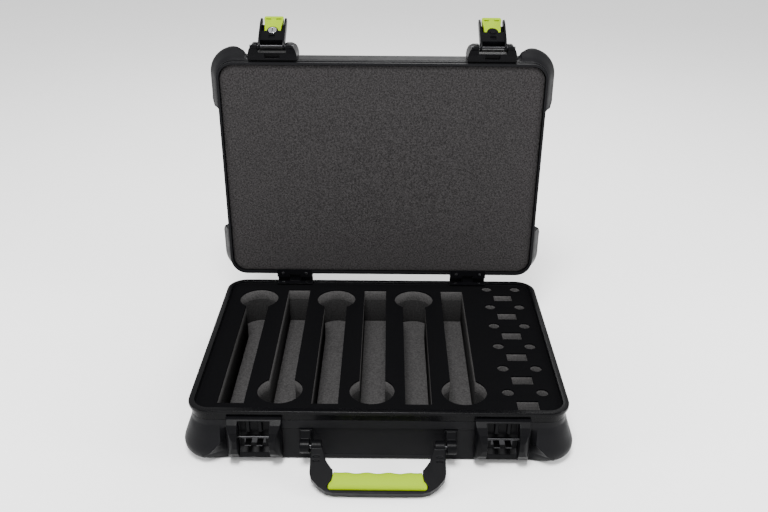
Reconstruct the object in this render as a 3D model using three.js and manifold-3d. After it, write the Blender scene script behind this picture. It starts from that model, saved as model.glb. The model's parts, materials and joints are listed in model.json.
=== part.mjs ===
// Hard carry case with a hinged lid, for six handheld microphones and their spare cells.
//
// Frame: millimetres, +X to the case's right, +Y to the back (hinge side), +Z up.
// Origin: centre of the base's underside, which is the plane z = 0. The lid is stored open at 90 degrees.

import * as THREE from 'three';
import { mergeVertices } from 'three/addons/utils/BufferGeometryUtils.js';
import Module from 'manifold-3d';

const wasm = await Module();
wasm.setup();

// ---------------------------------------------------------------- driving dimensions

const WIDTH = 500;              // rim outline, left to right
const DEPTH = 358;              // rim outline, front to back
const CORNER = 30;              // plan radius of the rim outline
const BASE_HEIGHT = 81;         // base, underside to rim
const LID_HEIGHT = 55;          // lid, rim to outer face
const FLOOR = 3.2;              // thickness of the moulded floors
const SEAM = 0.4;               // gap between the two rims when shut
const CLEAR = 0.3;              // gap between touching pieces
const CORNER_STEPS = 6;         // facets in a quarter turn of the outline
const SCOOP_CORNER_STEPS = 7;   // the same for the bumpers' upper part, and below for their ridge:
const RIDGE_CORNER_STEPS = 5;   // unequal counts make the three surfaces cross cleanly

const WALL_INSET = 5;           // moulded wall, in from the rim outline
const BAND_INSET = 3.4;         // raised band below the valance
const SEAT_INSET = 4.9;         // wall where the valance hooks over it
const CAVITY_INSET = 8.2;       // inside face of the wall
const LIP_DROP = 5.2;           // height of the valance's outer lip
const VALANCE_DROP = 15.6;      // height of the whole valance

const BUMPER_OUT = 10.2;        // how far the corner bumpers stand out of the rim outline
const BUMPER_ALONG_FRONT = 50;  // reach of a bumper along the front, from the outline's corner
const BUMPER_ALONG_SIDE = 85;   // reach of a bumper along the side

const FOAM_INSET = 8.6;
const SKIN_TOP = BASE_HEIGHT - 4;
const SKIN_THICK = 2.7;
const FLOOR_PAD_TOP = 18;
const LOWER_TOP = 57.5;
const SLOT_PITCH = 61.8;
const FIRST_SLOT_X = -194.6;
const SLOT_COUNT = 6;
const SLOT_WIDTH = 35;
const SLOT_FRONT = -155.5;
const SLOT_BACK = 152.5;
const HEAD_RADIUS = 30.25;
const BLOCK_SPLIT_X = 152;      // where the microphone foam meets the battery block
const CELL_ROW_PITCH = 57;
const CELL_ROWS = 6;
const ROUND_CELL_X = [173, 219];
const ROUND_CELL_BACK_Y = 158.6;
const ROUND_CELL_RADIUS = 8;
const SQUARE_CELL_X = 196;
const SQUARE_CELL_BACK_Y = 129.9;
const SQUARE_CELL = [28.7, 20];
const CELL_FLOOR = 27;

const HINGE_X = 142;
const HINGE_HALF = 28.6;
const HINGE_AXIS_Y = DEPTH / 2;
const HINGE_AXIS_Z = BASE_HEIGHT + 9.7;
const BARREL_RADIUS = 4.2;
const HINGE_PIN_RADIUS = 1.8;
const LEAF_THICK = 1.2;
const RIVET_HEAD = 0.18;        // flat enough to pass the facing rivet when shut

const LATCH_X = 161;
const LATCH_HALF = 36;          // half width of the latch housings
const RECESS_HALF = 20.6;       // half width of the channel that the lever lies in
const PIVOT_OUT = 18.6;         // lever pivot, out of the rim outline
const PIVOT_UP = 5.5;           // lever pivot, above the lid's rim plane when shut
const LEVER_LENGTH = 57.5;
const LEVER_HALF = 19.2;
const LEVER_OPEN_DEG = 148;
const LATCH_PIN_RADIUS = 2;
const KEY_CENTRE = [0, -26];    // lock, in the lever's frame
const KEY_RADIUS = 6.2;
const BEZEL_RADIUS = 8.2;

const HANDLE_PIVOT_Y = -(DEPTH / 2 + 10);
const HANDLE_PIVOT_Z = 34;
const HANDLE_REACH = 66.5;       // pivot to the far edge of the handle
const HANDLE_DROOP_DEG = 24;
const KNUCKLE_RADIUS = 8.5;
const KNUCKLE_X = [73.6, 86.6];
const EAR_X = [89, 101.5];

// ---------------------------------------------------------------- materials

const finish = (color, roughness, metalness = 0) =>
  new THREE.MeshStandardMaterial({ color, roughness, metalness });

const SHELL_BLACK = () => finish(0x26262a, 0.55);
const RIM_BLACK = () => finish(0x1c1c20, 0.35, 0.6);
const HARD_BLACK = () => finish(0x1d1d20, 0.45);
const STEEL = () => finish(0xb9bbc0, 0.28, 1);
const CHROME = () => finish(0xd8d8de, 0.12, 1);
const FOAM_BLACK = () => finish(0x111113, 0.95);
const FOAM_GREY = () => finish(0x4b4a4a, 0.98);
const FOAM_DARK = () => finish(0x2d2d2d, 0.98);
const LIME = () => finish(0xc4e22c, 0.55);

// ---------------------------------------------------------------- solids

function toSolid(geometry) {
  geometry.deleteAttribute('normal');
  geometry.deleteAttribute('uv');
  const merged = mergeVertices(geometry, 1e-4);
  const triangles = [];
  const index = merged.index.array;
  for (let i = 0; i < index.length; i += 3) {
    const [a, b, c] = [index[i], index[i + 1], index[i + 2]];
    if (a !== b && b !== c && c !== a) triangles.push(a, b, c);
  }
  return new wasm.Manifold(new wasm.Mesh({
    numProp: 3,
    vertProperties: new Float32Array(merged.attributes.position.array),
    triVerts: new Uint32Array(triangles),
  }));
}

function toMesh(name, solid, material) {
  const mesh = solid.getMesh();
  const geometry = new THREE.BufferGeometry();
  geometry.setAttribute('position', new THREE.BufferAttribute(new Float32Array(mesh.vertProperties), 3));
  geometry.setIndex([...mesh.triVerts]);
  geometry.computeVertexNormals();
  const result = new THREE.Mesh(geometry, material);
  result.name = name;
  return result;
}

const join = (solids) => solids.reduce((sum, solid) => sum.add(solid));
const cut = (solid, tools) => tools.reduce((rest, tool) => rest.subtract(tool), solid);

function box(x, y, z) {
  const geometry = new THREE.BoxGeometry(x[1] - x[0], y[1] - y[0], z[1] - z[0]);
  geometry.translate((x[0] + x[1]) / 2, (y[0] + y[1]) / 2, (z[0] + z[1]) / 2);
  return toSolid(geometry);
}

// A flat outline swept from `from` to `to` along one axis. Outline points are [x, y] for axis z,
// [x, z] for axis y and [y, z] for axis x.
function prism(axis, outline, from, to, holes = []) {
  const shape = new THREE.Shape(outline.map(([a, b]) => new THREE.Vector2(a, b)));
  for (const hole of holes) {
    shape.holes.push(new THREE.Path(hole.map(([a, b]) => new THREE.Vector2(a, b))));
  }
  const geometry = new THREE.ExtrudeGeometry(shape, { depth: to - from, bevelEnabled: false });
  const [X, Y, Z] = [[1, 0, 0], [0, 1, 0], [0, 0, 1]].map((v) => new THREE.Vector3(...v));
  const basis = new THREE.Matrix4();
  if (axis === 'x') basis.makeBasis(Y, Z, X).setPosition(from, 0, 0);
  if (axis === 'y') basis.makeBasis(X, Z, Y.clone().negate()).setPosition(0, to, 0);
  if (axis === 'z') basis.makeBasis(X, Y, Z).setPosition(0, 0, from);
  geometry.applyMatrix4(basis);
  return toSolid(geometry);
}

function arc(centre, radius, fromDeg, toDeg, steps) {
  return Array.from({ length: steps + 1 }, (_, i) => {
    const angle = THREE.MathUtils.degToRad(fromDeg + (toDeg - fromDeg) * i / steps);
    return [centre[0] + radius * Math.cos(angle), centre[1] + radius * Math.sin(angle)];
  });
}

const circle = (centre, radius, steps) => arc(centre, radius, 0, 360 * (1 - 1 / steps), steps - 1);

const rod = (axis, centre, radius, from, to, steps = 16) =>
  prism(axis, circle(centre, radius, steps), from, to);

// The rim outline, moved in by `inset`, counter-clockwise from the right-front corner.
function outline(inset, steps = CORNER_STEPS) {
  const radius = Math.max(CORNER - inset, 2);
  const x = WIDTH / 2 - inset - radius;
  const y = DEPTH / 2 - inset - radius;
  return [
    ...arc([x, -y], radius, -90, 0, steps), ...arc([x, y], radius, 0, 90, steps),
    ...arc([-x, y], radius, 90, 180, steps), ...arc([-x, -y], radius, 180, 270, steps),
  ];
}

// Skins a stack of [inset, height] outlines. A closed stack makes a ring, an open one is capped.
function loft(profile, closed = false, steps = CORNER_STEPS) {
  const rings = profile.map(([inset, z]) => outline(inset, steps).map(([x, y]) => [x, y, z]));
  const n = rings[0].length;
  const index = [];
  const last = closed ? rings.length : rings.length - 1;
  for (let i = 0; i < last; i++) {
    const a = i * n;
    const b = ((i + 1) % rings.length) * n;
    for (let j = 0; j < n; j++) {
      const k = (j + 1) % n;
      index.push(a + j, a + k, b + k, a + j, b + k, b + j);
    }
  }
  if (!closed) {
    const top = (rings.length - 1) * n;
    for (let j = 1; j < n - 1; j++) {
      index.push(0, j + 1, j, top, top + j, top + j + 1);
    }
  }
  const geometry = new THREE.BufferGeometry();
  geometry.setAttribute('position', new THREE.Float32BufferAttribute(rings.flat(2), 3));
  geometry.setIndex(index);
  return toSolid(geometry);
}

// A half outline on the +x side, completed by its mirror image.
function mirrored(half) {
  return [...half, ...half.map(([x, y]) => [-x, y]).reverse()];
}

// ---------------------------------------------------------------- moulded shells

// The swelling outer surface of the bumpers, from the floor up to where it fades into the wall.
function bumperBulk(fadeHeight, outSteps, cornerSteps) {
  return loft(outSteps.map(([out, share]) => [-out, share * fadeHeight]), false, cornerSteps);
}

const SCOOP_STEPS = [[-4, 0], [0, 0.09], [4, 0.145], [7, 0.19], [9.2, 0.27], [BUMPER_OUT, 0.36],
  [BUMPER_OUT, 0.42], [9.2, 0.51], [7.4, 0.61], [5.2, 0.72], [2.6, 0.84], [0, 0.95], [-3, 1.06], [-9, 1.2]];
const RIDGE_STEPS = [[-4.6, 0], [-0.6, 0.083], [3.6, 0.137], [7.2, 0.181],
  [8.4, 0.27], [8.4, 0.6], [6.4, 0.7], [-9, 0.74]];

// One corner's share of the plan, as a scooped top part and a lower ridge, both with a slanting inner end.
function bumper(sx, sy, fadeHeight, scoop, ridge) {
  const halfX = WIDTH / 2;
  const halfY = DEPTH / 2;
  const far = 14;
  const frontEnd = halfX - BUMPER_ALONG_FRONT;
  const sideEnd = halfY - BUMPER_ALONG_SIDE;
  const cornerPlan = (inset) => [
    [halfX + far, sideEnd + inset + 20], [halfX - WALL_INSET - 1.3, sideEnd + inset],
    [halfX - 40, halfY - 40], [frontEnd + inset, halfY - WALL_INSET - 1.3],
    [frontEnd + inset + 20, halfY + far], [halfX + far, halfY + far],
  ].map(([x, y]) => [sx * x, sy * y]);
  const ridgeRise = 0.34 * fadeHeight;
  const ridgePeak = 0.68 * fadeHeight;
  const ridgeSide = (end, half) => [[end - 3.7, -1], [end - 3.7, ridgePeak], [end + 6, ridgePeak],
    [end + 24, ridgeRise], [half - 8, ridgeRise], [half - 8, -1]];
  const frontRidge = ridgeSide(frontEnd, halfX).map(([x, z]) => [sx * x, z]);
  const sideRidge = ridgeSide(sideEnd, halfY).map(([y, z]) => [sy * y, z]);
  const acrossY = [sy * (halfY - 8), sy * (halfY + far)].sort((a, b) => a - b);
  const acrossX = [sx * (halfX - 8), sx * (halfX + far)].sort((a, b) => a - b);
  const ridges = join([prism('y', frontRidge, ...acrossY), prism('x', sideRidge, ...acrossX)]);
  return join([
    scoop.intersect(prism('z', cornerPlan(5), -1, fadeHeight * 1.19)),
    ridge.intersect(ridges).intersect(prism('z', cornerPlan(0), -1, ridgePeak + 1)),
  ]);
}

// An open tray standing on its outer face, with its rim at z = height.
function tray(height, fadeHeight) {
  const wall = loft([
    [9, 0], [6.4, 1], [WALL_INSET, 4], [WALL_INSET, height - 29.5], [BAND_INSET, height - 28],
    [BAND_INSET, height - 2.7], [CAVITY_INSET + 2, height - 2.7],
  ]);
  const scoop = bumperBulk(fadeHeight, SCOOP_STEPS, SCOOP_CORNER_STEPS);
  const ridge = bumperBulk(fadeHeight, RIDGE_STEPS, RIDGE_CORNER_STEPS);
  const corners = [[1, 1], [1, -1], [-1, 1], [-1, -1]];
  const bumpers = corners.map(([sx, sy]) => bumper(sx, sy, fadeHeight, scoop, ridge));
  const cavity = loft([[CAVITY_INSET, FLOOR], [CAVITY_INSET, height + 5]]);
  const belowValance = loft([[-30, height - VALANCE_DROP - CLEAR], [-30, height + 5]])
    .subtract(loft([[SEAT_INSET, height - VALANCE_DROP - 1], [SEAT_INSET, height + 6]]));
  return cut(join([wall, ...bumpers]), [cavity, belowValance]);
}

// The extruded rim that hooks over a tray's wall, rim plane at z = height.
function valance(height) {
  return loft([
    [3, height - VALANCE_DROP], [3, height - LIP_DROP - 0.6], [0, height - LIP_DROP],
    [0, height - 0.8], [0.8, height], [8.2, height], [8.2, height - 2.4], [4.6, height - 2.4],
    [4.6, height - VALANCE_DROP],
  ], true);
}

// ---------------------------------------------------------------- foam

const slotX = (i) => FIRST_SLOT_X + SLOT_PITCH * i;
const headAtBack = (i) => i % 2 === 0;

function slotHole(i) {
  const x = slotX(i);
  const half = SLOT_WIDTH / 2;
  const reach = Math.sqrt(HEAD_RADIUS ** 2 - half ** 2);
  const turn = THREE.MathUtils.radToDeg(Math.atan2(reach, half));
  if (headAtBack(i)) {
    const y = SLOT_BACK - HEAD_RADIUS;
    return [[x - half, SLOT_FRONT], [x + half, SLOT_FRONT],
      ...arc([x, y], HEAD_RADIUS, -turn, 180 + turn, 16)];
  }
  const y = SLOT_FRONT + HEAD_RADIUS;
  return [[x + half, SLOT_BACK], [x - half, SLOT_BACK],
    ...arc([x, y], HEAD_RADIUS, 180 - turn, 360 + turn, 16)];
}

const slotHoles = () => Array.from({ length: SLOT_COUNT }, (_, i) => slotHole(i));

function cellHoles() {
  const holes = [];
  for (let row = 0; row < CELL_ROWS; row++) {
    for (const x of ROUND_CELL_X) {
      holes.push(circle([x, ROUND_CELL_BACK_Y - row * CELL_ROW_PITCH], ROUND_CELL_RADIUS, 16));
    }
    const y = SQUARE_CELL_BACK_Y - row * CELL_ROW_PITCH;
    const [hx, hy] = SQUARE_CELL.map((side) => side / 2);
    holes.push([[SQUARE_CELL_X - hx, y - hy], [SQUARE_CELL_X + hx, y - hy],
      [SQUARE_CELL_X + hx, y + hy], [SQUARE_CELL_X - hx, y + hy]]);
  }
  return holes;
}

function slab(from, to, holes = []) {
  return prism('z', outline(FOAM_INSET), from, to, holes);
}

const leftOf = (x) => box([-WIDTH, x], [-DEPTH, DEPTH], [-10, BASE_HEIGHT + 60]);
const rightOf = (x) => box([x, WIDTH], [-DEPTH, DEPTH], [-10, BASE_HEIGHT + 60]);

function batteryBlock() {
  const top = SKIN_TOP - SKIN_THICK - CLEAR;
  const solid = slab(FLOOR_PAD_TOP + CLEAR, top).intersect(rightOf(BLOCK_SPLIT_X + CLEAR));
  return cut(solid, cellHoles().map((hole) => prism('z', hole, CELL_FLOOR, top + 1)));
}

// ---------------------------------------------------------------- hinges

const SCREW_SPOTS = [-19, 19];

function leafPlate(centreX, from, to, screwY) {
  const across = [centreX - HINGE_HALF, centreX + HINGE_HALF];
  const plate = box(across, [DEPTH / 2 - 13, DEPTH / 2 - 4.6], [from, to]);
  return cut(plate, SCREW_SPOTS.map((dx) => rod('z', [centreX + dx, screwY], 1.6, from - 1, to + 1, 10)));
}

// Leaves are drawn shut: the base leaf lies on the base's rim and the lid leaf faces it.
function baseLeaf(x) {
  const top = BASE_HEIGHT - 0.1;
  const knuckle = rod('x', [HINGE_AXIS_Y, HINGE_AXIS_Z], BARREL_RADIUS, x - 9, x + 9, 20);
  const web = box([x - 9, x + 9], [DEPTH / 2 - 4.2, DEPTH / 2 + 3], [top - LEAF_THICK, HINGE_AXIS_Z]);
  const behind = DEPTH / 2 + 3;
  const flange = box([x - HINGE_HALF, x + HINGE_HALF], [DEPTH / 2 - 4.7, behind], [top - LEAF_THICK, top]);
  const apron = box([x - HINGE_HALF, x + HINGE_HALF], [DEPTH / 2 + 0.6, behind],
    [top - LEAF_THICK, HINGE_AXIS_Z - BARREL_RADIUS - CLEAR]);
  const bore = rod('x', [HINGE_AXIS_Y, HINGE_AXIS_Z], HINGE_PIN_RADIUS + 0.05, x - 10, x + 10, 16);
  const leaf = leafPlate(x, top - LEAF_THICK, top, DEPTH / 2 - 6.5);
  return join([leaf, flange, apron, web, knuckle]).subtract(bore);
}

function lidLeaf(x) {
  const low = BASE_HEIGHT + SEAM + 0.1;
  const high = low + LEAF_THICK;
  const solids = [leafPlate(x, low, high, DEPTH / 2 - 6.5)];
  for (const side of [-1, 1]) {
    const ends = [x + side * 9.4, x + side * HINGE_HALF].sort((a, b) => a - b);
    solids.push(rod('x', [HINGE_AXIS_Y, HINGE_AXIS_Z], BARREL_RADIUS, ...ends, 20));
    solids.push(box(ends, [DEPTH / 2 - 4.7, DEPTH / 2], [low, HINGE_AXIS_Z]));
  }
  const bore = rod('x', [HINGE_AXIS_Y, HINGE_AXIS_Z], HINGE_PIN_RADIUS + 0.05, x - 40, x + 40, 16);
  return join(solids).subtract(bore);
}

function leafRivet(x, headZ, tailZ) {
  const y = DEPTH / 2 - 6.5;
  const up = tailZ < headZ;
  const head = up ? [headZ, headZ + RIVET_HEAD] : [headZ - RIVET_HEAD, headZ];
  const shank = up ? [tailZ, headZ + 0.1] : [headZ - 0.1, tailZ];
  return rod('z', [x, y], 2.4, ...head, 14).add(rod('z', [x, y], 1.3, ...shank, 10));
}

// Room for the leaves and barrels in the two rims.
function baseHingeCuts() {
  return [-HINGE_X, HINGE_X].flatMap((x) => [
    box([x - HINGE_HALF - CLEAR, x + HINGE_HALF + CLEAR], [DEPTH / 2 - 14, DEPTH / 2 + 5],
      [BASE_HEIGHT - 1.6, BASE_HEIGHT + 5]),
    ...SCREW_SPOTS.map((dx) => rod('z', [x + dx, DEPTH / 2 - 6.5], 1.6, BASE_HEIGHT - 4, BASE_HEIGHT, 10)),
  ]);
}

function lidHingeCuts() {
  const rim = BASE_HEIGHT + SEAM;
  return [-HINGE_X, HINGE_X].flatMap((x) => [
    box([x - HINGE_HALF - CLEAR, x + HINGE_HALF + CLEAR], [DEPTH / 2 - 14, DEPTH / 2 + 5],
      [rim - 5, rim + 1.6]),
    box([x - HINGE_HALF - CLEAR, x + HINGE_HALF + CLEAR], [DEPTH / 2 - 5.1, DEPTH / 2 + 9],
      [rim - 5, rim + 14.6]),
    ...SCREW_SPOTS.map((dx) => rod('z', [x + dx, DEPTH / 2 - 6.5], 1.6, rim, rim + 4, 10)),
  ]);
}

// ---------------------------------------------------------------- latches

const FRONT = -DEPTH / 2;

// Front view of a housing: square at the wall, with shoulders that round over towards the recess.
function housingPlan(x, reach) {
  const shoulder = (side) => [0, 1, 2, 3, 4, 5, 6].map((i) => {
    const angle = THREE.MathUtils.degToRad(15 * i);
    const across = 22 + (LATCH_HALF - 22) * Math.cos(angle);
    return [x + side * across, FRONT - (2 + (reach - 2) * Math.sin(angle))];
  });
  return [[x - LATCH_HALF, FRONT + 3], ...shoulder(-1), ...shoulder(1).reverse(),
    [x + LATCH_HALF, FRONT + 3]];
}

// Housing on the lid, drawn shut: it carries the lever's pivot pin between two wings.
function latchHousing(x) {
  const rim = BASE_HEIGHT + SEAM;
  const pivot = [FRONT - PIVOT_OUT, rim + PIVOT_UP];
  const back = FRONT + 3 - CLEAR;
  const side = [
    [back, rim + 6], [FRONT - 0.4, rim + 6], [FRONT - 7, rim + 4.5],
    ...arc(pivot, 4.9, 315, 155, 8).map(([y, z]) => [y, Math.max(z, rim + 0.6)]),
    [FRONT - 21, rim + 22], [FRONT - 15, rim + 36], [FRONT - 3, rim + 45], [back, rim + 45],
  ];
  const profile = prism('x', side, x - LATCH_HALF, x + LATCH_HALF);
  const plan = prism('z', housingPlan(x, PIVOT_OUT + 5), rim, rim + 46);
  const recess = prism('x', [[FRONT - 40, rim - 3], [FRONT - 9.4, rim - 3], [FRONT - 9.4, rim + 16],
    [FRONT - 12, rim + 22], [FRONT - 15, rim + 40], [FRONT - 40, rim + 60]],
  x - RECESS_HALF, x + RECESS_HALF);
  const slot = box([x - 11, x + 11], [FRONT - 7, FRONT - 1], [rim, rim + 10]);
  const pinBore = rod('x', pivot, LATCH_PIN_RADIUS + 0.2, x - 33, x + 33, 14);
  const heel = box([x - 30, x + 30], [back - 0.1, FRONT + WALL_INSET - CLEAR], [rim + 30.5, rim + 41]);
  return join([cut(profile.intersect(plan), [recess, slot, pinBore]), heel]);
}

// Keeper on the base: two wings that shelter the shut lever, with a cross rod between them.
function keeper(x) {
  const z = BASE_HEIGHT;
  const back = FRONT + 3 - CLEAR;
  const side = [
    [back, z - 70], [back, z - 9], [FRONT - 3, z - 11], [FRONT - 9, z - 16], [FRONT - 16, z - 24],
    [FRONT - 19.5, z - 34], [FRONT - 19.5, z - 46], [FRONT - 17, z - 56], [FRONT - 10, z - 66],
    [FRONT - 3, z - 70],
  ];
  const profile = prism('x', side, x - LATCH_HALF, x + LATCH_HALF);
  const plan = prism('z', housingPlan(x, PIVOT_OUT + 2), z - 71, z - 8);
  const recess = prism('x', [[FRONT - 40, z - 80], [FRONT - 5.5, z - 80], [FRONT - 5.5, z - 62],
    [FRONT + 1.4, z - 56], [FRONT + 1.4, z - 16], [FRONT - 5, z - 12.5], [FRONT - 40, z - 12.5]],
  x - RECESS_HALF, x + RECESS_HALF);
  const prongs = [-8, 8].map((dx) => box([x + dx - 2.4, x + dx + 2.4],
    [FRONT - 2.6, FRONT + 2], [z - 31, z - 13]));
  const bore = rod('x', [FRONT - 5, z - 37], 2, x - 29, x + 29, 14);
  return join([cut(profile.intersect(plan), [recess, bore]), ...prongs]);
}

// Steel catch plate at the foot of the recess, with two lips that the lever's lugs snap under.
function catchPlate(x) {
  const z = BASE_HEIGHT;
  const plate = box([x - 14, x + 14], [FRONT - 0.2, FRONT + 1.1], [z - 50, z - 39.6]);
  const lips = [-7.5, 7.5].map((dx) => box([x + dx - 4, x + dx + 4],
    [FRONT - 14, FRONT], [z - 44.5, z - 43]));
  return join([plate, ...lips]);
}

// The lever in its own frame: pivot on the X axis, s along the lever away from the pivot on -Z,
// the side that faces the case when shut on +Y.
function leverFrame() {
  const cheekSide = [
    ...arc([0, 0], 5, 0, 180, 8), [-5, -41], [-4, -52], [0.5, -54.5], [5, -52], [8, -40], [8, -8],
  ];
  const cheeks = [-1, 1].map((side) => {
    const ends = [side * 16.4, side * LEVER_HALF].sort((a, b) => a - b);
    return prism('x', cheekSide, ...ends);
  });
  const back = box([-16.6, 16.6], [-5, -2.6], [-46, -4.5]);
  const bridge = box([-16.6, 16.6], [-3, 6.4], [-24.6, -6]);
  const pocket = box([-4.5, 4.5], [4.6, 9], [-16.4, -9]);
  const bezel = rod('y', KEY_CENTRE, BEZEL_RADIUS, -3, 5.4, 24);
  const bore = rod('y', KEY_CENTRE, KEY_RADIUS + CLEAR, -1.4, 9, 24);
  const windows = [-1, 1].map((side) => {
    const ends = [side * 12, side * 15.4].sort((a, b) => a - b);
    return box(ends, [-9, 9], [-29.4, -25.4]);
  });
  const pinBore = rod('x', [0, 0], LATCH_PIN_RADIUS + 0.2, -30, 30, 14);
  return cut(join([...cheeks, back, bridge, bezel]), [pocket, bore, pinBore, ...windows]);
}

function leverTab() {
  const face = mirrored([[11.6, -25], [12.6, -40], [14.4, -52], [14, -56.5], [12, -LEVER_LENGTH]]);
  const plate = prism('y', face, -2.2, 3.4).subtract(rod('y', KEY_CENTRE, BEZEL_RADIUS + CLEAR, -5, 9, 24));
  const nose = box([-14, 14], [-4.8, -1.9], [-57, -46.6]);
  const lugs = [-7.5, 7.5].map((dx) => box([dx - 3.6, dx + 3.6], [3, 5.8], [-53, -50.6]));
  return join([plate, nose, ...lugs]);
}

function lockCylinder() {
  const body = rod('y', KEY_CENTRE, KEY_RADIUS, -1, 6.6, 24);
  const keyway = box([-0.8, 0.8], [3, 9], [KEY_CENTRE[1] - 4, KEY_CENTRE[1] + 4]);
  return body.subtract(keyway);
}

function blankPlug() {
  return rod('y', KEY_CENTRE, KEY_RADIUS, -1, 6.2, 24).add(rod('y', KEY_CENTRE, 4.6, 6, 7.4, 20));
}

// ---------------------------------------------------------------- handle

// Handle in its own frame: pivots on the X axis, reaching out along -Y, thickness on Z.
function handleFrame() {
  const outside = mirrored([[0, -HANDLE_REACH], [56, -HANDLE_REACH + 0.6], [66, -63.5],
    [76, -56.5], [85, -46], [86.6, -39], [86.6, 0]]);
  const inner = mirrored([[0, -40], [53, -38], [59, -33], [66, -23], [73.6, 1]]);
  const plate = prism('z', outside, -6, 6).subtract(prism('z', inner, -9, 9));
  const gripBay = prism('z', mirrored([[0, -62.5], [60, -62.5], [63.5, -57], [57, -47],
    [57, -32], [0, -32]]), -9, 9);
  const core = box([-70, 70], [-58.5, -46], [-3.5, 3.5]);
  const knuckles = [-1, 1].map((side) => {
    const ends = KNUCKLE_X.map((x) => side * x).sort((a, b) => a - b);
    return rod('x', [0, 0], KNUCKLE_RADIUS, ...ends, 24);
  });
  const bores = rod('x', [0, 0], 3.3, -95, 95, 16);
  const marks = [-1, 1].flatMap((side) => [-17, -23].map((y) =>
    box([side * 79 - 4, side * 79 + 4], [y - 1, y + 1], [4.8, 9])));
  return cut(join([cut(plate, [gripBay]), core, ...knuckles]), [bores, ...marks]);
}

function handleGrip() {
  const inner = Array.from({ length: 25 }, (_, i) => {
    const x = 54 - 108 * i / 24;
    return [x, -39.4 + 1.3 * Math.cos(x / 54 * Math.PI * 4) + 4 * (Math.abs(x) / 54) ** 6];
  });
  const face = [[-56, -44], [-56.4, -49], [-62.6, -57.2], [-59.6, -62.1], [59.6, -62.1], [62.6, -57.2],
    [56.4, -49], [56, -44], ...inner];
  const section = [[-62.2, -6], [-57, -10], [-48, -10.5], [-41, -8], [-34, -3], [-34, 3], [-41, 8],
    [-48, 10.5], [-57, 10], [-62.2, 6]];
  const body = prism('z', face, -11, 11).intersect(prism('x', section, -70, 70));
  return body.subtract(box([-80, 80], [-58.8, -45.7], [-3.8, 3.8]));
}

function handleBracket(side) {
  const wall = FRONT + WALL_INSET - CLEAR;
  const pivot = [HANDLE_PIVOT_Y, HANDLE_PIVOT_Z];
  const span = (from, to) => [side * from, side * to].sort((a, b) => a - b);
  const ear = prism('x', [[wall, 12], [wall, 50], [FRONT + 1, 50],
    ...arc(pivot, 9, 60, 280, 12), [FRONT + 1, 12]],
    ...span(...EAR_X));
  const plate = box(span(86, 103.5), [FRONT + 2, wall], [10, 51.5]);
  const bore = rod('x', pivot, 3.3, ...span(80, 99), 16);
  return join([ear, plate]).subtract(bore);
}

// ---------------------------------------------------------------- assembly

const part = new THREE.Group();
const base = new THREE.Group();
part.add(base);

const rimZ = BASE_HEIGHT + SEAM;
const sides = [['left', -1], ['right', 1]];

base.add(toMesh('base_shell', tray(BASE_HEIGHT, 52), SHELL_BLACK()));
base.add(toMesh('base_valance', cut(valance(BASE_HEIGHT), baseHingeCuts()), RIM_BLACK()));
base.add(toMesh('foam_floor_pad', slab(FLOOR + CLEAR, FLOOR_PAD_TOP), FOAM_GREY()));
const micFoam = (from, to) => slab(from, to, slotHoles()).intersect(leftOf(BLOCK_SPLIT_X));
base.add(toMesh('mic_foam_lower', micFoam(FLOOR_PAD_TOP + CLEAR, LOWER_TOP), FOAM_DARK()));
base.add(toMesh('mic_foam_upper', micFoam(LOWER_TOP + CLEAR, SKIN_TOP - SKIN_THICK - CLEAR), FOAM_GREY()));
base.add(toMesh('battery_foam', batteryBlock(), FOAM_GREY()));
base.add(toMesh('foam_top_skin', slab(SKIN_TOP - SKIN_THICK, SKIN_TOP, [...slotHoles(), ...cellHoles()]),
  FOAM_BLACK()));

for (const [name, side] of sides) {
  const x = side * LATCH_X;
  base.add(toMesh(`latch_keeper_${name}`, keeper(x), HARD_BLACK()));
  base.add(toMesh(`keeper_rod_${name}`, rod('x', [FRONT - 5, BASE_HEIGHT - 37], 1.7, x - 28, x + 28, 14), STEEL()));
  base.add(toMesh(`catch_plate_${name}`, catchPlate(x), STEEL()));
  base.add(toMesh(`handle_bracket_${name}`, handleBracket(side), HARD_BLACK()));
  const pinEnds = [side * 74, side * 98.6].sort((a, b) => a - b);
  base.add(toMesh(`handle_pin_${name}`, rod('x', [HANDLE_PIVOT_Y, HANDLE_PIVOT_Z], 3, ...pinEnds), STEEL()));
  const hx = side * HINGE_X;
  base.add(toMesh(`hinge_leaf_base_${name}`, baseLeaf(hx), HARD_BLACK()));
  base.add(toMesh(`hinge_pin_${name}`, rod('x', [HINGE_AXIS_Y, HINGE_AXIS_Z], HINGE_PIN_RADIUS, hx - 28, hx + 28),
    STEEL()));
}

// The lid is drawn shut and then turned back about the hinge line.
const lidSwing = new THREE.Group();
lidSwing.position.set(0, HINGE_AXIS_Y, HINGE_AXIS_Z);
lidSwing.rotation.x = -Math.PI / 2;
const lid = new THREE.Group();
lid.position.set(0, -HINGE_AXIS_Y, -HINGE_AXIS_Z);
lidSwing.add(lid);
part.add(lidSwing);

// A tray or valance turned over, so that its rim faces down on the base's rim.
function turnedOver(name, solid, material) {
  const mesh = toMesh(name, solid, material);
  mesh.geometry.rotateX(Math.PI);
  mesh.geometry.translate(0, 0, rimZ + LID_HEIGHT);
  return mesh;
}

lid.add(turnedOver('lid_shell', tray(LID_HEIGHT, 37), SHELL_BLACK()));
const lidValance = toSolid(turnedOver('', valance(LID_HEIGHT), null).geometry);
lid.add(toMesh('lid_valance', cut(lidValance, lidHingeCuts()), RIM_BLACK()));
lid.add(toMesh('lid_foam_pad', slab(rimZ + 5.7, rimZ + LID_HEIGHT - FLOOR - CLEAR), FOAM_GREY()));

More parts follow.
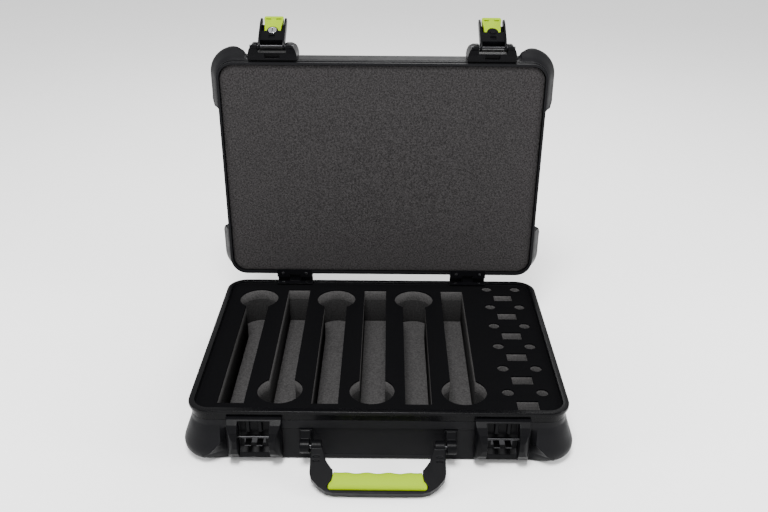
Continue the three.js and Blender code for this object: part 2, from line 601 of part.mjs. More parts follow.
for (const [name, side] of sides) {
  const x = side * LATCH_X;
  lid.add(toMesh(`latch_housing_${name}`, latchHousing(x), HARD_BLACK()));
  const pinLine = [FRONT - PIVOT_OUT, rimZ + PIVOT_UP];
  lid.add(toMesh(`latch_pin_${name}`, rod('x', pinLine, LATCH_PIN_RADIUS, x - 32, x + 32), STEEL()));
  lid.add(toMesh(`hinge_leaf_lid_${name}`, lidLeaf(side * HINGE_X), HARD_BLACK()));

  const lever = new THREE.Group();
  lever.position.set(x, ...pinLine);
  lever.rotation.x = -THREE.MathUtils.degToRad(LEVER_OPEN_DEG);
  lever.add(toMesh(`lever_frame_${name}`, leverFrame(), HARD_BLACK()));
  lever.add(toMesh(`lever_tab_${name}`, leverTab(), LIME()));
  if (side < 0) lever.add(toMesh('lock_cylinder', lockCylinder(), CHROME()));
  else lever.add(toMesh('blank_plug', blankPlug(), HARD_BLACK()));
  lid.add(lever);
}

SCREW_SPOTS.forEach((dx, i) => {
  for (const [name, side] of sides) {
    const x = side * HINGE_X + dx;
    base.add(toMesh(`base_rivet_${name}_${i + 1}`,
      leafRivet(x, BASE_HEIGHT - 0.1 + 0.05, BASE_HEIGHT - 2.5), STEEL()));
    lid.add(toMesh(`lid_rivet_${name}_${i + 1}`, leafRivet(x, rimZ + 0.05, rimZ + 2.5), STEEL()));
  }
});

const handle = new THREE.Group();
handle.position.set(0, HANDLE_PIVOT_Y, HANDLE_PIVOT_Z);
handle.rotation.x = THREE.MathUtils.degToRad(HANDLE_DROOP_DEG);
handle.add(toMesh('handle_frame', handleFrame(), HARD_BLACK()));
handle.add(toMesh('handle_grip', handleGrip(), LIME()));
part.add(handle);

export default part;
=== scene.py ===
import json
import math

import bmesh
import bpy
from mathutils import Matrix, Vector


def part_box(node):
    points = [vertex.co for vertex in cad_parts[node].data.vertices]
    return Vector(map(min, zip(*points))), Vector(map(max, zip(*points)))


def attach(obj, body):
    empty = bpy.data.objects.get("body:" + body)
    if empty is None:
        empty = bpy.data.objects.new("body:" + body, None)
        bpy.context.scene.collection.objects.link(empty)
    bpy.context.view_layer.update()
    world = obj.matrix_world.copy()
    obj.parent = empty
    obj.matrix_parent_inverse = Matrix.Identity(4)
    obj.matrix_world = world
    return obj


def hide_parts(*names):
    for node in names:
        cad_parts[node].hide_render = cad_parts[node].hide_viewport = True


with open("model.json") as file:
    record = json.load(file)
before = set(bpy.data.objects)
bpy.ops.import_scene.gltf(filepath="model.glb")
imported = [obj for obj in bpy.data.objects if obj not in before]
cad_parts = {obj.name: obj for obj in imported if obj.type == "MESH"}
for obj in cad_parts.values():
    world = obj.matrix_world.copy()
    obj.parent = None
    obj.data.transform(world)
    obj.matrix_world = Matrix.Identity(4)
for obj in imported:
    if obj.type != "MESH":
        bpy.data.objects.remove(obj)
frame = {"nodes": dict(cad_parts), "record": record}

bl_info = {
    "name": "Microphone Carry Case",
    "version": (1, 0, 0),
    "blender": (4, 5, 0),
    "location": "View3D > Sidebar > Carry Case",
    "description": "Builds the finished looks of a hard microphone case over its CAD frame",
    "category": "Object",
}

MM = 0.001
RECORD = frame["record"]
JOINTS = {joint["name"]: joint for joint in RECORD["behaviour"]["joints"]}
OPENINGS = {opening["name"]: opening["box_m"] for opening in RECORD["physics"]["openings"]}
SIDES = (("left", -1), ("right", 1))

HALF_WIDTH, HALF_DEPTH, BASE_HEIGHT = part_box("base_valance")[1]
HINGE = Vector(JOINTS["lid_hinge"]["pos_m"])
SEAM = 0.4 * MM
LID_RIM = BASE_HEIGHT + SEAM
LID_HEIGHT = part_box("lid_shell")[1].y - HINGE.y + HINGE.z - LID_RIM
MERGE = 2e-6

# The lid is drawn as a tray, turned over onto the base's rim, and swung open about the hinge line.
LID_OPEN = (Matrix.Translation(HINGE) @ Matrix.Rotation(-math.pi / 2, 4, "X")
            @ Matrix.Translation(-HINGE))
LID_TURNED = Matrix.Translation((0, 0, LID_RIM + LID_HEIGHT)) @ Matrix.Rotation(math.pi, 4, "X")


# ------------------------------------------------------------------ mesh helpers

def new_object(name, bm, material=None, smooth_angle=35):
    """A linked object from a bmesh, shaded smooth up to an angle."""
    bmesh.ops.remove_doubles(bm, verts=bm.verts, dist=MERGE)
    bmesh.ops.recalc_face_normals(bm, faces=bm.faces)
    mesh = bpy.data.meshes.new(name)
    bm.to_mesh(mesh)
    bm.free()
    obj = bpy.data.objects.new(name, mesh)
    bpy.context.collection.objects.link(obj)
    mesh.shade_smooth()
    mesh.set_sharp_from_angle(angle=math.radians(smooth_angle))
    if material:
        mesh.materials.append(material)
    return obj


def bake(obj):
    """Turns the object's modifiers into plain mesh."""
    depsgraph = bpy.context.evaluated_depsgraph_get()
    depsgraph.update()
    mesh = bpy.data.meshes.new_from_object(obj.evaluated_get(depsgraph))
    obj.modifiers.clear()
    obj.data = mesh
    return obj


def settle(obj, body, slot, *nodes):
    """Rides a finished piece on its body, in place of the CAD nodes that it stands for."""
    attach(obj, body)
    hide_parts(*nodes)
    return obj


def spline(knots, x):
    """A smooth curve through (x, value) knots in rising order of x."""
    if x <= knots[0][0]:
        return knots[0][1]
    if x >= knots[-1][0]:
        return knots[-1][1]
    i = next(i for i in range(len(knots) - 1) if x <= knots[i + 1][0])

    def slope(j):
        a, b = knots[max(j - 1, 0)], knots[min(j + 1, len(knots) - 1)]
        return (b[1] - a[1]) / (b[0] - a[0])

    (x0, y0), (x1, y1) = knots[i], knots[i + 1]
    span = x1 - x0
    t = (x - x0) / span
    return ((2 * t**3 - 3 * t**2 + 1) * y0 + (t**3 - 2 * t**2 + t) * span * slope(i)
            + (3 * t**2 - 2 * t**3) * y1 + (t**3 - t**2) * span * slope(i + 1))


def straight(knots, x):
    """Straight lines through (x, value) knots in rising order of x."""
    for (x0, y0), (x1, y1) in zip(knots, knots[1:]):
        if x <= x1:
            return y0 + (y1 - y0) * max(x - x0, 0) / max(x1 - x0, 1e-9)
    return knots[-1][1]


def rounded(points, radius, steps=4):
    """A closed polygon with its corners rounded."""
    result = []
    count = len(points)
    for i, corner in enumerate(points):
        corner = Vector(corner)
        before, after = Vector(points[i - 1]) - corner, Vector(points[(i + 1) % count]) - corner
        reach = min(radius, before.length * 0.45, after.length * 0.45)
        start, end = corner + before.normalized() * reach, corner + after.normalized() * reach
        for k in range(steps + 1):
            t = k / steps
            result.append(start * (1 - t) ** 2 + corner * 2 * t * (1 - t) + end * t**2)
    return result


def skin(bm, rings, closed=False, caps=True):
    """Quads between equal rings of points, counter-clockwise seen from above, with flat caps."""
    loops = [[bm.verts.new(point) for point in ring] for ring in rings]
    pairs = list(zip(loops, loops[1:])) + ([(loops[-1], loops[0])] if closed else [])
    for low, high in pairs:
        for j in range(len(low)):
            k = (j + 1) % len(low)
            bm.faces.new((low[j], low[k], high[k], high[j]))
    if caps and not closed:
        bm.faces.new(reversed(loops[0]))
        bm.faces.new(loops[-1])
    return bm


def subtract(obj, boxes):
    """Cuts axis-aligned boxes, given as (low, high) corners, out of an object."""
    bm = bmesh.new()
    for low, high in boxes:
        size, centre = Vector(high) - Vector(low), (Vector(high) + Vector(low)) / 2
        cube = bmesh.ops.create_cube(bm, size=1)["verts"]
        bmesh.ops.scale(bm, vec=size, verts=cube)
        bmesh.ops.translate(bm, vec=centre, verts=cube)
    cutter = new_object("cutter", bm)
    modifier = obj.modifiers.new("cut", "BOOLEAN")
    modifier.operation, modifier.solver, modifier.object = "DIFFERENCE", "EXACT", cutter
    bake(obj)
    bpy.data.objects.remove(cutter)
    return obj


def cad_copy(node, material):
    """A merged copy of a CAD node's mesh, with its flat faces joined up."""
    bm = bmesh.new()
    bm.from_mesh(frame["nodes"][node].data)
    bmesh.ops.remove_doubles(bm, verts=bm.verts, dist=MERGE)
    bmesh.ops.dissolve_limit(bm, angle_limit=math.radians(1), verts=bm.verts, edges=bm.edges)
    return new_object(f"{node}_finished", bm, material)


def softened(node, material, width=0.35 * MM, angle=32):
    """A copy of a CAD node with its edges rounded over."""
    obj = cad_copy(node, material)
    bevel = obj.modifiers.new("edges", "BEVEL")
    bevel.width, bevel.segments, bevel.limit_method = width, 3, "ANGLE"
    bevel.angle_limit = math.radians(angle)
    bevel.use_clamp_overlap = True
    bake(obj)
    obj.data.shade_smooth()
    obj.data.set_sharp_from_angle(angle=math.radians(angle))
    weighted = obj.modifiers.new("normals", "WEIGHTED_NORMAL")
    weighted.keep_sharp = True
    return bake(obj)


def moulded(node, material, voxel=0.5 * MM, rounds=5):
    """A copy of a CAD node with its facets melted into one moulded surface."""
    obj = cad_copy(node, material)
    remesh = obj.modifiers.new("voxels", "REMESH")
    remesh.mode, remesh.voxel_size = "VOXEL", voxel
    smooth = obj.modifiers.new("melt", "SMOOTH")
    smooth.factor, smooth.iterations = 0.5, rounds
    bake(obj)
    obj.data.materials.clear()
    obj.data.materials.append(material)
    obj.data.shade_smooth()
    return obj


# ------------------------------------------------------------------ rim outline

class Outline:
    """The case's rounded-rectangle rim, walked by arc length from the middle of the front."""

    def __init__(self, corner):
        self.corner = corner
        self.front = HALF_WIDTH - corner
        self.arc = corner * math.pi / 2
        self.quarter = self.front + self.arc + HALF_DEPTH - corner

    def at(self, s, out, sx, sy):
        """Point at arc length s in one quarter, moved out of the outline by `out`."""
        if s < self.front:
            x, y, nx, ny = s, HALF_DEPTH, 0, 1
        elif s < self.front + self.arc:
            angle = (s - self.front) / self.corner
            nx, ny = math.sin(angle), math.cos(angle)
            x = self.front + self.corner * nx
            y = HALF_DEPTH - self.corner + self.corner * ny
        else:
            x, y, nx, ny = HALF_WIDTH, self.quarter - s, 1, 0
        return sx * (x + nx * out), sy * (y + ny * out)

    def ring(self, stations, height, out):
        """One turn round the outline; out is a number or a function of (s, sx, sy)."""
        points = []
        for sx, sy, turned in ((1, -1, False), (1, 1, True), (-1, 1, False), (-1, -1, True)):
            for s in (reversed(stations) if turned else stations):
                offset = out(s, sx, sy) if callable(out) else out
                points.append((*self.at(s, offset, sx, sy), height))
        return points

    def stations(self, breaks, counts):
        """Arc lengths between the breaks, in the given numbers of steps."""
        result = []
        for low, high, count in zip(breaks, breaks[1:], counts):
            result += [low + (high - low) * i / count for i in range(count)]
        return result + [breaks[-1]]

    def plain(self, steps):
        """Stations for a ring with no detail along its straight sides."""
        return self.stations([0, self.front, self.front + self.arc, self.quarter], [8, steps, 6])


# ------------------------------------------------------------------ materials

class Shader:
    """A small builder for procedural materials on object coordinates."""

    def __init__(self, name):
        self.material = bpy.data.materials.new(name)
        self.material.use_nodes = True
        self.tree = self.material.node_tree
        self.surface = self.tree.nodes["Principled BSDF"]
        self.coordinates = self.node("ShaderNodeTexCoord").outputs["Object"]

    def node(self, kind, settings=(), **inputs):
        node = self.tree.nodes.new(kind)
        for key, value in dict(settings).items():
            setattr(node, key, value)
        for key, value in inputs.items():
            self.feed(node.inputs[key.replace("_", " ")], value)
        return node

    def feed(self, socket, value):
        if isinstance(value, bpy.types.NodeSocket):
            self.tree.links.new(value, socket)
        else:
            socket.default_value = value

    def noise(self, scale, detail=3, roughness=0.55, stretch=(1, 1, 1)):
        """Noise with `scale` features per metre."""
        mapped = self.node("ShaderNodeMapping", Vector=self.coordinates, Scale=stretch)
        return self.node("ShaderNodeTexNoise", Vector=mapped.outputs["Vector"], Scale=scale,
                         Detail=detail, Roughness=roughness).outputs["Fac"]

    def spread(self, value, low, high, start=0.3, end=0.7):
        """A 0 to 1 value mapped onto a range."""
        return self.node("ShaderNodeMapRange", Value=value, From_Min=start, From_Max=end,
                         To_Min=low, To_Max=high).outputs["Result"]

    def tint(self, value, dark, light):
        """A colour between two by a 0 to 1 value."""
        ramp = self.node("ShaderNodeMix", {"data_type": "RGBA"})
        self.tree.links.new(value, ramp.inputs["Factor"])
        ramp.inputs[6].default_value = (*dark, 1)
        ramp.inputs[7].default_value = (*light, 1)
        return ramp.outputs[2]

    def bump(self, height, depth, strength=1.0, below=None):
        """Relief `depth` metres deep, over an earlier relief if one is given."""
        inputs = {"Height": height, "Distance": depth, "Strength": strength}
        if below is not None:
            inputs["Normal"] = below
        return self.node("ShaderNodeBump", **inputs).outputs["Normal"]

    def finish(self, **inputs):
        for key, value in inputs.items():
            self.feed(self.surface.inputs[key.replace("_", " ")], value)
        return self.material


def shade(color, factor):
    return tuple(min(channel * factor, 1) for channel in color)


def moulded_plastic(name, color, roughness, grain=900, depth=0.06 * MM, variation=0.12, gloss=0.12):
    """Black moulding: fine spark grain, faint flow marks and polish that varies a little."""
    shader = Shader(name)
    clouds = shader.noise(14, 4)
    scuffs = shader.noise(60, 5, 0.7, (1, 0.35, 1))
    fine = shader.noise(grain, 2)
    flow = shader.bump(clouds, 0.15 * MM, 0.25)
    return shader.finish(
        Base_Color=shader.tint(clouds, shade(color, 1 - variation), shade(color, 1 + variation)),
        Roughness=shader.spread(scuffs, roughness - 0.06, roughness + 0.08),
        Normal=shader.bump(fine, depth, 0.5, flow), Specular_IOR_Level=gloss)


def foam(name, color, cells=420, contrast=0.3, depth=0.35 * MM):
    """Open-cell foam: pores of two sizes, speckled light and dark."""
    shader = Shader(name)
    cell = shader.node("ShaderNodeTexVoronoi", Vector=shader.coordinates, Scale=cells * 1.6,
                       Randomness=1.0).outputs["Distance"]
    speckle = shader.noise(cells, 3, 0.7)
    patches = shader.noise(22, 3)
    pores = shader.bump(cell, depth, 0.5)
    mottled = shader.tint(shader.spread(speckle, 0, 1, 0.35, 0.65), shade(color, 1 - contrast),
                          shade(color, 1 + contrast))
    broad = shader.node("ShaderNodeMix", {"data_type": "RGBA", "blend_type": "MULTIPLY"})
    broad.inputs["Factor"].default_value = 1
    shader.tree.links.new(mottled, broad.inputs[6])
    shader.tree.links.new(shader.tint(patches, (0.92,) * 3, (1, 1, 1)), broad.inputs[7])
    return shader.finish(Base_Color=broad.outputs[2], Roughness=0.97, Specular_IOR_Level=0.0,
                         Normal=shader.bump(speckle, depth, 0.6, pores))


def bare_metal(name, color, roughness, lines=(0.04, 1, 1)):
    """Plated steel, drawn along X."""
    shader = Shader(name)
    drawn = shader.noise(2600, 2, 0.5, lines)
    spots = shader.noise(180, 4)
    return shader.finish(
        Base_Color=shader.tint(spots, shade(color, 0.86), color), Metallic=1.0,
        Roughness=shader.spread(drawn, roughness - 0.05, roughness + 0.1),
        Normal=shader.bump(drawn, 0.02 * MM, 0.35))


def soft_touch(name, color):
    """Lime rubber-like moulding with a fine matt grain."""
    shader = Shader(name)
    clouds = shader.noise(30, 3)
    fine = shader.noise(1100, 2)
    return shader.finish(
        Base_Color=shader.tint(clouds, shade(color, 0.93), color),
        Roughness=shader.spread(clouds, 0.42, 0.55),
        Normal=shader.bump(fine, 0.05 * MM, 0.45), Specular_IOR_Level=0.03)


def paper_floor(name, brightness):
    shader = Shader(name)
    fibres = shader.noise(6, 4)
    return shader.finish(
        Base_Color=shader.tint(fibres, (brightness * 0.985,) * 3, (brightness,) * 3),
        Roughness=0.9, Specular_IOR_Level=0.0)


FINISHES = {}


# ------------------------------------------------------------------ settings

def length(name, description, default, **limits):
    return bpy.props.FloatProperty(name=name, description=description, default=default,
                                   unit="LENGTH", subtype="DISTANCE", precision=5, **limits)


def colour(name, description, default):
    return bpy.props.FloatVectorProperty(name=name, description=description, default=default,
                                         size=3, subtype="COLOR", min=0, max=1)


class CaseShellSettings(bpy.types.PropertyGroup):
    """Sizes and colours of the shells, the rims and the black fittings"""
    corner: length("Corner radius", "Plan radius of the rim outline", 30 * MM)
    bumper_front: length("Bumper on the front", "Where a bumper ends, from the middle of the front",
                         199 * MM)
    bumper_side: length("Bumper on the side", "Reach of a bumper along the side", 85 * MM)
    rim_rounding: length("Rim rounding", "Radius on the rim's edges", 0.7 * MM)
    color: colour("Shell colour", "Moulded shell", (0.0042, 0.0042, 0.0048))
    rim_color: colour("Rim colour", "Satin rim", (0.0016, 0.0016, 0.0019))
    hard_color: colour("Fittings colour", "Hinges, latches and handle frame", (0.002, 0.002, 0.0024))


class CaseFoamSettings(bpy.types.PropertyGroup):
    """Sizes and colours of the foam"""
    slot_width: length("Slot width", "Width of a microphone slot", 35 * MM)
    head_radius: length("Head radius", "Radius of the wide end of a slot", 30.25 * MM)
    cell_radius: length("Round cell radius", "Radius of a round battery hole", 8 * MM)
    block_width: length("Block width", "Width of a block battery hole", 28.7 * MM)
    block_depth: length("Block depth", "Depth of a block battery hole", 20 * MM)
    edge: length("Cut edge", "Rounding of the foam's cut edges", 0.5 * MM)
    crown: length("Lid pad crown", "How far the lid's pad swells in its middle", 1.6 * MM)
    color: colour("Pad colour", "Pad in the lid", (0.0215, 0.0203, 0.0206))
    # Nearly twice as bright as the lid's pad, which is the same foam: painted light, standing in for
    # the light that falls onto the slot floors.
    floor: colour("Floor pad colour", "Pad under the slots", (0.04, 0.0388, 0.039))
    # Partly real and partly painted light: the upper layer is lighter foam than the lower, and its
    # colour is brightened further to stand in for the light on the slot walls.
    upper: colour("Upper foam colour", "Lighter upper layer", (0.05, 0.0485, 0.0485))
    lower: colour("Lower foam colour", "Darker lower layer", (0.02, 0.0196, 0.0198))
    skin: colour("Skin colour", "Top skin", (0.0028, 0.0028, 0.0031))


class CaseFittingSettings(bpy.types.PropertyGroup):
    """Sizes and colours of the latches, the hinges and the handle"""
    bevel: length("Edge rounding", "Rounding of the levers, leaves and plates", 0.4 * MM)
    voxel: length("Moulding detail", "Smallest detail kept on the moulded housings", 0.5 * MM)
    grip_grooves: bpy.props.IntProperty(name="Finger grooves", description="Grooves in the grip",
                                        default=4, min=0)
    groove_depth: length("Groove depth", "Depth of a finger groove", 0.8 * MM)
    lime: colour("Lime", "Grip and lever tabs", (0.205, 0.315, 0.0))
    steel: colour("Steel", "Pins and plates", (0.15, 0.15, 0.158))
    chrome: colour("Chrome", "Lock", (0.45, 0.45, 0.47))


class CaseStageSettings(bpy.types.PropertyGroup):
    """Camera, floor and lights"""
    camera: bpy.props.FloatVectorProperty(
        name="Camera", description="Camera position", size=3, unit="LENGTH",
        default=(0.0099, -1.0602, 0.7493))
    pitch: bpy.props.FloatProperty(name="Pitch", description="Camera angle below the horizon",
                                   default=math.radians(26.71), unit="ROTATION")
    yaw: bpy.props.FloatProperty(name="Yaw", description="Camera turn about the vertical",
                                 default=math.radians(0.257), unit="ROTATION")
    roll: bpy.props.FloatProperty(name="Roll", description="Camera turn about its own axis",
                                  default=math.radians(0.3665), unit="ROTATION")
    lens: bpy.props.FloatProperty(name="Lens", description="Focal length in millimetres",
                                  default=39.749, unit="CAMERA")
    floor: bpy.props.FloatProperty(name="Floor", description="How pale the floor is", default=0.9,
                                   min=0, max=1, subtype="FACTOR")
    sky: bpy.props.FloatProperty(name="Room light", description="Even light from all round",
                                 default=1.2)
    key: bpy.props.FloatProperty(name="Key light", description="Large soft light above",
                                 default=130.0, unit="POWER")


# ------------------------------------------------------------------ shells

# Height as a share of the fade height, and how far the bumper stands out of the rim outline there.
BUMPER_CURVE = [(share, out * MM) for share, out in (
    (0, -5), (0.04, -2.6), (0.09, 0.3), (0.145, 4.2), (0.19, 7.0), (0.27, 9.3), (0.36, 10.1),
    (0.42, 10.0), (0.51, 8.9), (0.61, 7.0), (0.72, 4.8), (0.84, 2.5), (0.95, 0.2), (1.06, -3),
    (1.2, -9))]
# Share of the fade height, and how far from its end a bumper reaches its full depth.
FACET_CURVE = [(share, run * MM) for share, run in (
    (0, 30), (0.3, 29), (0.35, 23), (0.67, 6.5), (1.2, 8))]
WALL_OUT = -5 * MM
BAND_OUT = -3.4 * MM
SEAT_OUT = -4.9 * MM
CAVITY_OUT = -8.2 * MM
FLOOR_THICK = 3.2 * MM
RIM_DROP = 2.7 * MM              # top of the moulded wall, below the rim's top
PANEL_HALF = 88 * MM             # shallow panel behind the handle
PANEL_DEPTH = 1.1 * MM
PANEL_STEP = 1.2 * MM
PANEL_FOOT = 7 * MM
PANEL_DROP = 28.5 * MM
EDGE = 1.5 * MM                  # soft crest where a bumper's facets meet
EDGE_RISE = 0.35 * MM
BASE_FADE = 52 * MM              # height at which the base's bumpers run out into the wall
LID_FADE = 37 * MM
OUTLINE_CORNER = 30 * MM
HINGE_ROOM = 0.3 * MM            # beside a hinge leaf


def wall_curve(height):
    """Height and how far the plain wall stands out there, from the floor to under the rim."""
    foot = [(0, -9.2), (0.3, -7.9), (0.9, -6.7), (1.9, -5.7), (3.2, -5.15), (5, -5)]
    return [(z * MM, out * MM) for z, out in foot] + [
        (height - 29.8 * MM, WALL_OUT), (height - 28.6 * MM, BAND_OUT - 0.3 * MM),
        (height - 27.8 * MM, BAND_OUT), (height - 16.4 * MM, BAND_OUT),
        (height - 15.9 * MM, BAND_OUT - 0.5 * MM)]


def tray(name, settings, material, height, fade, panel):
    """An open moulded tray on its outer face, with corner bumpers and a hollow for the foam."""
    outline = Outline(settings.corner)
    curve = wall_curve(height)
    side_end = outline.quarter - HALF_DEPTH + settings.bumper_side
    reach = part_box("base_shell")[1].x - HALF_WIDTH - 0.1 * MM
    counts = [2, 2, 30, 12, 3, 3, 36, 3, 3, 12, 18]
    heights = sorted({z for z, _ in curve} | {
        5 * MM + i * (fade * 1.2 - 5 * MM) / 44 for i in range(1, 45)})

    def breaks(share):
        run = straight(FACET_CURVE, share)
        start, end = settings.bumper_front, side_end
        return [0, PANEL_HALF, PANEL_HALF + PANEL_STEP, start,
                start + run - EDGE, start + run, start + run + EDGE,
                end - run - EDGE, end - run, end - run + EDGE, end, outline.quarter]

    def ring(z):
        share = z / fade
        points = breaks(share)
        wall, bulk = straight(curve, z), spline(BUMPER_CURVE, share)
        excess = bulk - wall
        excess = (excess + math.sqrt(excess**2 + (0.5 * MM) ** 2)) / 2

        def out(s, _, sy):
            inside = min((s - points[3]) / (points[5] - points[3]),
                         (points[10] - s) / (points[10] - points[8]), 1)
            edge = min(abs(s - points[5]), abs(s - points[8])) / EDGE
            ridge = EDGE_RISE * max(1 - edge, 0) * min(excess / (4 * MM), 1)
            offset = min(wall + excess * max(inside, 0) + ridge, reach)
            if panel and sy < 0 and s <= PANEL_HALF and PANEL_FOOT < z < height - PANEL_DROP:
                offset -= PANEL_DEPTH
            return offset

        return outline.ring(outline.stations(points, counts), z, out)

    top = height - RIM_DROP
    plain = outline.stations(breaks(1), counts)
    rings = [ring(z) for z in heights]
    rings += [outline.ring(plain, z, out) for z, out in (
        (heights[-1], SEAT_OUT), (top, SEAT_OUT), (top, CAVITY_OUT), (FLOOR_THICK, CAVITY_OUT))]
    return new_object(name, skin(bmesh.new(), rings), material, 30)


def valance(name, settings, material, height):
    """The satin rim that hooks over a tray's wall."""
    profile = [(-3, -15.6), (-3, -5.9), (0, -5.2), (0, -0.8), (-0.8, 0), (-8.2, 0), (-8.2, -2.4),
               (-4.6, -2.4), (-4.6, -15.6)]
    points = rounded([(out * MM, height + z * MM) for out, z in profile], settings.rim_rounding)
    outline = Outline(settings.corner)
    stations = outline.plain(24)
    rings = [outline.ring(stations, z, out) for out, z in points]
    return new_object(name, skin(bmesh.new(), rings, closed=True), material, 40)


def hinge_rooms(y_span, z_span):
    """Boxes round both hinges, with spans in millimetres out of the rim's back and up from z."""
    rooms = []
    for side, _ in SIDES:
        low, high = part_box(f"hinge_leaf_base_{side}")
        rooms.append(((low.x - HINGE_ROOM, HALF_DEPTH + y_span[0] * MM, z_span[0]),
                      (high.x + HINGE_ROOM, HALF_DEPTH + y_span[1] * MM, z_span[1])))
    return rooms


class CASE_OT_shells(bpy.types.Operator):
    """Builds the two moulded shells and the rims that hook over their walls"""
    bl_idname = "carry_case.shells"
    bl_label = "Shells and rims"

    def execute(self, context):
        settings = context.scene.carry_case_shell
        shell, rim = FINISHES["shell_black"], FINISHES["rim_black"]
        base = tray("base_moulding", settings, shell, BASE_HEIGHT, BASE_FADE, panel=True)
        settle(base, "base", "shell_black", "base_shell")
        lid = tray("lid_moulding", settings, shell, LID_HEIGHT, LID_FADE, panel=False)
        lid.data.transform(LID_OPEN @ LID_TURNED)
        settle(lid, "lid", "shell_black", "lid_shell")

        base_rim = valance("base_rim", settings, rim, BASE_HEIGHT)
        subtract(base_rim, hinge_rooms((-14, 5), (BASE_HEIGHT - 1.6 * MM, BASE_HEIGHT + 5 * MM)))
        settle(base_rim, "base", "rim_black", "base_valance")
        lid_rim = valance("lid_rim", settings, rim, LID_HEIGHT)
        lid_rim.data.transform(LID_TURNED)
        subtract(lid_rim, hinge_rooms((-14, 5), (LID_RIM - 5 * MM, LID_RIM + 1.6 * MM))
                 + hinge_rooms((-5.1, 9), (LID_RIM - 6 * MM, LID_RIM + 14.6 * MM)))
        lid_rim.data.transform(LID_OPEN)
        settle(lid_rim, "lid", "rim_black", "lid_valance")
        return {"FINISHED"}


# ------------------------------------------------------------------ foam

FOAM_INSET = 8.6 * MM            # foam's sides, in from the rim's outline
EDGE_STEPS = 3                   # rings round a cut edge
SLOT_MARGIN = 0.5 * MM           # slot's end past the room that a microphone needs


def arc(centre, radius, start, end, steps):
    return [(centre[0] + radius * math.cos(start + (end - start) * i / steps),
             centre[1] + radius * math.sin(start + (end - start) * i / steps))
            for i in range(steps + 1)]


def area(loop):
    return sum(a[0] * b[1] - b[0] * a[1] for a, b in zip(loop, loop[1:] + loop[:1])) / 2


def pushed(loop, distance):
    """A loop moved sideways, away from the material that it bounds."""
    result = []
    count = len(loop)
    for i in range(count):
        before, here, after = Vector(loop[i - 1]), Vector(loop[i]), Vector(loop[(i + 1) % count])
        first, second = (here - before).normalized(), (after - here).normalized()
        normal = Vector((first.y + second.y, -first.x - second.x))
        stretch = 2 / max(normal.length_squared, 0.5)
        result.append(here + normal * distance * stretch)
    return result


def cut_slab(name, material, low, high, loops, edge):
    """A slab between two heights. The first loop bounds it and the others are holes."""
    bm = bmesh.new()
    outer, holes = loops[0], loops[1:]
    turned = [outer if area(outer) > 0 else outer[::-1]]
    turned += [hole if area(hole) < 0 else hole[::-1] for hole in holes]
    levels = []
    for k in range(EDGE_STEPS + 1):
        angle = math.pi / 2 * k / EDGE_STEPS
        levels.append((edge * (math.sin(angle) - 1), low + edge * (1 - math.cos(angle))))
    levels += [(out, low + high - z) for out, z in reversed(levels)]
    first, last = [], []
    for loop in turned:
        rings = [[(p.x, p.y, z) for p in pushed(loop, out)] for out, z in levels]
        skin(bm, rings, caps=False)
        count = len(loop)
        bm.verts.ensure_lookup_table()
        first.append(list(bm.verts)[-count * len(levels):][:count])
        last.append(list(bm.verts)[-count:])
    for ends in (first, last):
        edges = [bm.edges.get((ring[i], ring[(i + 1) % len(ring)]))
                 for ring in ends for i in range(len(ring))]
        bmesh.ops.triangle_fill(bm, edges=edges, use_beauty=True)
    return new_object(name, bm, material, 50)


def slot_loop(settings, index):
    """Plan of one microphone slot: a straight bay with a round pocket for the head."""
    (x0, y0, _), (x1, y1, _) = OPENINGS[f"mic_slot_{index}"]
    (_, h0, _), (_, h1, _) = OPENINGS[f"mic_head_{index}"]
    x, head_y = (x0 + x1) / 2, (h0 + h1) / 2
    half, radius = settings.slot_width / 2, settings.head_radius
    side = 1 if head_y > 0 else -1
    far = y0 - SLOT_MARGIN if side > 0 else y1 + SLOT_MARGIN
    turn = math.atan2(math.sqrt(radius**2 - half**2), half)
    head = arc((0, 0), radius, -turn, math.pi + turn, 40)
    bay = [(-half, side * (far - head_y)), (half, side * (far - head_y))]
    return [(x + px, head_y + side * py) for px, py in bay + head]


def cell_loops(settings):
    """Plans of the round and the square battery holes."""
    loops = []
    for name, (low, high) in OPENINGS.items():
        centre = ((low[0] + high[0]) / 2, (low[1] + high[1]) / 2)
        if name.startswith("round_cell"):
            loops.append(arc(centre, settings.cell_radius, 0, 2 * math.pi, 32)[:-1])
        if name.startswith("square_cell"):
            hx, hy = settings.block_width / 2, settings.block_depth / 2
            loops.append([(centre[0] + a * hx, centre[1] + b * hy)
                          for a, b in ((-1, -1), (1, -1), (1, 1), (-1, 1))])
    return loops


def clipped(left=None, right=None):
    """The foam's rounded outline, cut off at x = left or x = right."""
    outline = Outline(OUTLINE_CORNER)
    loop = [point[:2] for point in outline.ring(outline.plain(12), 0, -FOAM_INSET)]
    loop = [p for i, p in enumerate(loop) if (Vector(p) - Vector(loop[i - 1])).length > 0.01 * MM]
    depth = max(y for _, y in loop)
    if right is not None:
        loop = [p for p in loop if p[0] < right]
        last = max((i for i, p in enumerate(loop) if p[1] < 0), key=lambda i: loop[i][0])
        loop[last + 1:last + 1] = [(right, -depth), (right, depth)]
    if left is not None:
        loop = [(left, -depth)] + [p for p in loop if p[0] > left] + [(left, depth)]
    return loop


